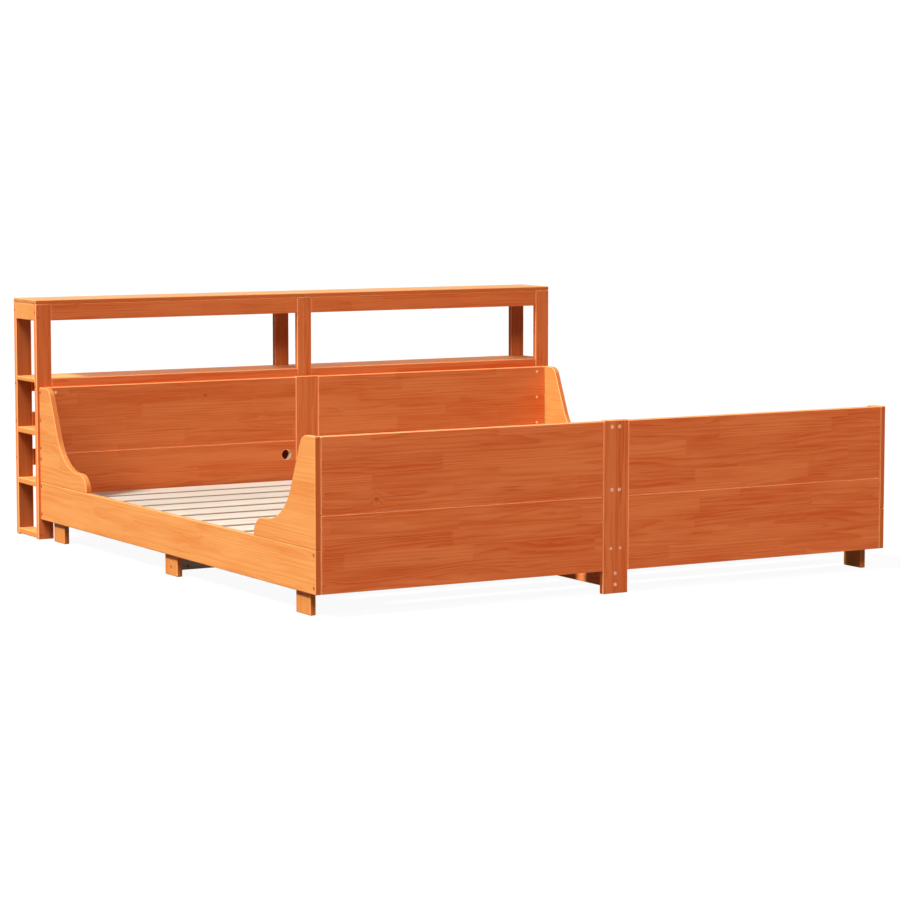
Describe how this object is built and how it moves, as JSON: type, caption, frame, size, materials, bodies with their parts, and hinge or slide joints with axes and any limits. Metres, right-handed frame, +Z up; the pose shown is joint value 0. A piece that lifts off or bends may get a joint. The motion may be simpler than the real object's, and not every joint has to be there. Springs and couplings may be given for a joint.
{
  "type": "wooden bed",
  "caption": "Wooden double bed with curved side wings, low panelled head and foot ends, a slatted deck and an open bookcase standing behind the headboard.",
  "frame": {"origin": "on the floor, under the middle of the whole bed with its bookcase", "axes": "+Z up, +Y along the bed from the footboard to the bookcase, +X to the right as seen from the footboard"},
  "size_m": [2.074, 2.255, 0.828],
  "materials": {
    "stained_pine": "honey-brown stain under satin wax",
    "plain_pine": "planed, unfinished",
    "zinc_steel": "zinc plated",
    "beech": "unfinished dowel rod"
  },
  "bodies": {
    "root": {"back_guard_rails": "stained_pine", "back_shelf_rail_left": "stained_pine", "back_shelf_rail_right": "stained_pine", "back_top_rail_left": "stained_pine", "back_top_rail_right": "stained_pine", "barrel_nuts": "zinc_steel", "bed_bolts": "zinc_steel", "bookcase_back_post_centre": "stained_pine", "bookcase_back_post_left": "stained_pine", "bookcase_back_post_right": "stained_pine", "bookcase_bolts": "zinc_steel", "bookcase_front_post_centre": "stained_pine", "bookcase_front_post_left": "stained_pine", "bookcase_front_post_right": "stained_pine", "bookcase_top_board_left": "stained_pine", "bookcase_top_board_right": "stained_pine", "cam_fittings": "zinc_steel", "centre_legs": "plain_pine", "centre_stretcher": "stained_pine", "cross_stretcher": "plain_pine", "foot_front_left": "stained_pine", "foot_front_right": "stained_pine", "foot_middle_left": "stained_pine", "foot_middle_right": "stained_pine", "foot_rear_left": "stained_pine", "foot_rear_right": "stained_pine", "foot_wing_left": "stained_pine", "foot_wing_right": "stained_pine", "footboard_lower_board_left": "stained_pine", "footboard_lower_board_right": "stained_pine", "footboard_post": "stained_pine", "footboard_upper_board_left": "stained_pine", "footboard_upper_board_right": "stained_pine", "front_shelf_rail_left": "stained_pine", "front_shelf_rail_right": "stained_pine", "front_top_rail_left": "stained_pine", "front_top_rail_right": "stained_pine", "head_wing_left": "stained_pine", "head_wing_right": "stained_pine", "headboard_lower_board_left": "stained_pine", "headboard_lower_board_right": "stained_pine", "headboard_post": "stained_pine", "headboard_upper_board_left": "stained_pine", "headboard_upper_board_right": "stained_pine", "lower_shelves_left": "stained_pine", "lower_shelves_right": "stained_pine", "side_rail_left": "stained_pine", "side_rail_right": "stained_pine", "slat_bearer": "plain_pine", "slat_ledger_left": "plain_pine", "slat_ledger_right": "plain_pine", "slats_left": "plain_pine", "slats_right": "plain_pine", "top_cross_rail_centre": "stained_pine", "top_cross_rail_left": "stained_pine", "top_cross_rail_right": "stained_pine", "window_shelf_left": "stained_pine", "window_shelf_right": "stained_pine", "wood_screws": "zinc_steel", "wooden_dowels": "beech"}
  },
  "joints": []
}
